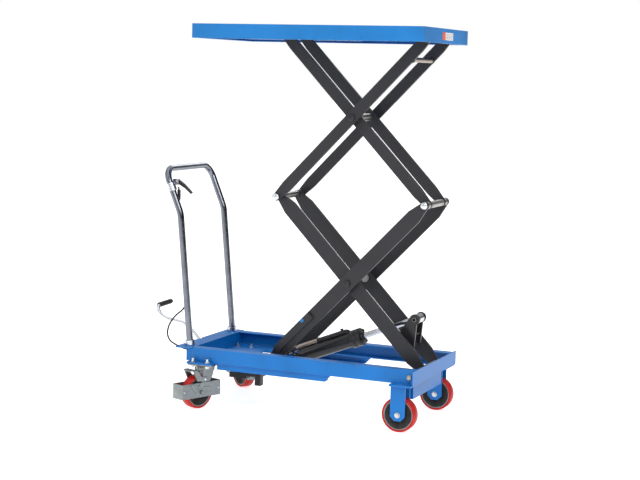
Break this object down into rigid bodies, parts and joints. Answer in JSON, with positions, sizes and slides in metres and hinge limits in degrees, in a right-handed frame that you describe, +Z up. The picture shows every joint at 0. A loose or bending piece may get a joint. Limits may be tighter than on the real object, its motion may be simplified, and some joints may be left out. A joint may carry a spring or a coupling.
{
  "type": "scissor lift table",
  "caption": "Mobile hydraulic double-scissor lift table with a flat deck, a rear push handle, a foot pump, fixed front casters and braked swivel rear casters.",
  "frame": {"origin": "on the floor under the middle of the deck, in the frame's centre plane", "axes": "+X towards the fixed front casters, +Y across the table, +Z up"},
  "size_m": [1.1725, 0.6117, 1.4438],
  "materials": {
    "blue_paint": "gloss powder coat",
    "black_paint": "satin paint",
    "zinc": "zinc plated",
    "chrome": "polished",
    "bare_steel": "oiled steel",
    "red_tread": "polyurethane",
    "cast_hub": "painted casting",
    "black_rubber": "matte"
  },
  "bodies": {
    "chassis": {"side_rail_near": "blue_paint", "side_rail_far": "blue_paint", "front_end_plate": "blue_paint", "front_cross_member": "blue_paint", "rear_cross_member": "blue_paint", "pump_tray": "blue_paint", "caster_plates": "blue_paint", "chassis_bolts": "zinc", "rigid_forks": "blue_paint", "swivel_heads": "zinc", "fixed_pivot_shaft": "bare_steel", "handle_tube": "chrome", "handle_sockets": "zinc", "release_clamp": "zinc", "release_cable": "black_rubber", "pump_unit": "black_paint", "ram_saddle": "black_paint"},
    "lower_inner_stage": {"lower_inner_arms": "black_paint", "ram_lever": "black_paint", "ram_lever_pin": "bare_steel", "left_mid_shaft": "bare_steel"},
    "lower_outer_stage": {"lower_outer_arms": "black_paint", "right_mid_shaft": "bare_steel", "foot_axle": "bare_steel", "lower_centre_pins": "bare_steel"},
    "safety_prop_arm": {"safety_prop": "black_paint"},
    "upper_outer_stage": {"upper_outer_arms": "black_paint", "upper_tie_bar": "bare_steel", "deck_pivot_shaft": "bare_steel"},
    "upper_inner_stage": {"upper_inner_arms": "black_paint", "upper_centre_shaft": "bare_steel", "top_axle": "bare_steel"},
    "foot_roller_near_body": {"foot_roller_near": "bare_steel"},
    "foot_roller_far_body": {"foot_roller_far": "bare_steel"},
    "top_roller_near_body": {"top_roller_near": "bare_steel"},
    "top_roller_far_body": {"top_roller_far": "bare_steel"},
    "deck": {"deck_pan": "blue_paint", "deck_tracks_and_lugs": "blue_paint"},
    "ram_rod": {"piston_rod": "chrome"},
    "ram_body": {"ram_barrel": "black_paint", "ram_cap_and_pipe": "black_paint"},
    "front_wheel_near": {"front_hub_near": "cast_hub", "front_tread_near": "red_tread"},
    "front_wheel_far": {"front_hub_far": "cast_hub", "front_tread_far": "red_tread"},
    "pedal": {"pedal_rod": "zinc", "pedal_grip": "black_rubber"},
    "plunger": {"pump_plunger": "chrome"},
    "release_lever_body": {"release_lever": "black_paint"},
    "valve_lever_body": {"valve_lever": "black_paint"},
    "rear_caster_near": {"swivel_fork_near": "zinc", "toe_guard_near": "zinc"},
    "rear_wheel_near": {"rear_hub_near": "cast_hub", "rear_tread_near": "red_tread"},
    "brake_near": {"brake_pedal_near": "zinc"},
    "rear_caster_far": {"swivel_fork_far": "zinc", "toe_guard_far": "zinc"},
    "rear_wheel_far": {"rear_hub_far": "cast_hub", "rear_tread_far": "red_tread"},
    "brake_far": {"brake_pedal_far": "zinc"}
  },
  "joints": [
    {"name": "lift", "type": "hinge", "parent": "chassis", "child": "lower_inner_stage", "pos_m": [0.43, 0, 0.202], "axis": [0, 1, 0], "range_deg": [-41.8, 0]},
    {"name": "lower_cross", "type": "hinge", "parent": "lower_inner_stage", "child": "lower_outer_stage", "pos_m": [0.13738, 0, 0.50607], "axis": [0, 1, 0], "range_deg": [0, 83.61]},
    {"name": "left_mid", "type": "hinge", "parent": "lower_inner_stage", "child": "upper_outer_stage", "pos_m": [-0.15523, 0, 0.81015], "axis": [0, 1, 0], "range_deg": [0, 83.61]},
    {"name": "upper_cross", "type": "hinge", "parent": "upper_outer_stage", "child": "upper_inner_stage", "pos_m": [0.13738, 0, 1.11422], "axis": [0, 1, 0], "range_deg": [-83.61, 0]},
    {"name": "deck_pivot", "type": "hinge", "parent": "upper_outer_stage", "child": "deck", "pos_m": [0.43, 0, 1.41829], "axis": [0, 1, 0], "range_deg": [-41.81, 0]},
    {"name": "ram_rod_pivot", "type": "hinge", "parent": "lower_inner_stage", "child": "ram_rod", "pos_m": [0.37828, 0, 0.38122], "axis": [0, 1, 0], "range_deg": [0, 46.77]},
    {"name": "ram_stroke", "type": "slide", "parent": "ram_rod", "child": "ram_body", "axis": [0.9278, 0, 0.3732], "range_m": [0, 0.12705]},
    {"name": "foot_roller_near_spin", "type": "hinge", "parent": "lower_outer_stage", "child": "foot_roller_near_body", "pos_m": [-0.15523, -0.199, 0.202], "axis": [0, 1, 0], "continuous": true},
    {"name": "top_roller_near_spin", "type": "hinge", "parent": "upper_inner_stage", "child": "top_roller_near_body", "pos_m": [-0.15523, -0.146, 1.41829], "axis": [0, 1, 0], "continuous": true},
    {"name": "front_wheel_near_spin", "type": "hinge", "parent": "chassis", "child": "front_wheel_near", "pos_m": [0.393, -0.205, 0.0635], "axis": [0, 1, 0], "continuous": true},
    {"name": "foot_roller_far_spin", "type": "hinge", "parent": "lower_outer_stage", "child": "foot_roller_far_body", "pos_m": [-0.15523, 0.199, 0.202], "axis": [0, 1, 0], "continuous": true},
    {"name": "top_roller_far_spin", "type": "hinge", "parent": "upper_inner_stage", "child": "top_roller_far_body", "pos_m": [-0.15523, 0.146, 1.41829], "axis": [0, 1, 0], "continuous": true},
    {"name": "front_wheel_far_spin", "type": "hinge", "parent": "chassis", "child": "front_wheel_far", "pos_m": [0.393, 0.205, 0.0635], "axis": [0, 1, 0], "continuous": true},
    {"name": "rear_caster_near_swivel", "type": "hinge", "parent": "chassis", "child": "rear_caster_near", "pos_m": [-0.403, -0.19, 0.12], "axis": [0, 0, 1], "continuous": true},
    {"name": "rear_wheel_near_spin", "type": "hinge", "parent": "rear_caster_near", "child": "rear_wheel_near", "pos_m": [-0.41798, -0.22709, 0.0635], "axis": [-0.9272, 0.3746, 0], "continuous": true},
    {"name": "brake_near_press", "type": "hinge", "parent": "rear_caster_near", "child": "brake_near", "pos_m": [-0.41124, -0.2104, 0.112], "axis": [-0.9272, 0.3746, 0], "range_deg": [-5, 0], "stiffness_Nm_per_rad": 3, "springref_deg": 5.73},
    {"name": "rear_caster_far_swivel", "type": "hinge", "parent": "chassis", "child": "rear_caster_far", "pos_m": [-0.403, 0.19, 0.12], "axis": [0, 0, 1], "continuous": true},
    {"name": "rear_wheel_far_spin", "type": "hinge", "parent": "rear_caster_far", "child": "rear_wheel_far", "pos_m": [-0.43616, 0.21237, 0.0635], "axis": [0.5592, 0.829, 0], "continuous": true},
    {"name": "brake_far_press", "type": "hinge", "parent": "rear_caster_far", "child": "brake_far", "pos_m": [-0.42124, 0.2023, 0.112], "axis": [0.5592, 0.829, 0], "range_deg": [-5, 0], "stiffness_Nm_per_rad": 3, "springref_deg": 5.73},
    {"name": "pedal_press", "type": "hinge", "parent": "chassis", "child": "pedal", "pos_m": [-0.33, -0.025, 0.128], "axis": [0, 1, 0], "range_deg": [-18, 0], "stiffness_Nm_per_rad": 6, "springref_deg": 51.57},
    {"name": "plunger_stroke", "type": "slide", "parent": "chassis", "child": "plunger", "axis": [0, 0, 1], "range_m": [-0.0108, 0]},
    {"name": "release_squeeze", "type": "hinge", "parent": "chassis", "child": "release_lever_body", "pos_m": [-0.556, -0.152, 0.85], "axis": [0, 1, 0], "range_deg": [0, 15], "stiffness_Nm_per_rad": 2, "springref_deg": -11.46},
    {"name": "valve_turn", "type": "hinge", "parent": "chassis", "child": "valve_lever_body", "pos_m": [-0.262, -0.044, 0.112], "axis": [0, 1, 0], "range_deg": [0, 15.01]},
    {"name": "prop_swing", "type": "hinge", "parent": "lower_outer_stage", "child": "safety_prop_arm", "pos_m": [-0.01061, -0.1213, 0.36815], "axis": [0, 1, 0], "range_deg": [-43, 0]}
  ],
  "couplings": [
    {"joint": "lower_cross", "follows": "lift", "ratio": -2},
    {"joint": "left_mid", "follows": "lift", "ratio": -2},
    {"joint": "upper_cross", "follows": "lift", "ratio": 2},
    {"joint": "deck_pivot", "follows": "lift", "ratio": 1},
    {"joint": "ram_rod_pivot", "follows": "lift", "ratio": -1.1184},
    {"joint": "ram_stroke", "follows": "lift", "m_per_rad": -0.17408},
    {"joint": "plunger_stroke", "follows": "pedal_press", "m_per_rad": 0.034},
    {"joint": "valve_turn", "follows": "release_squeeze", "ratio": 1}
  ]
}
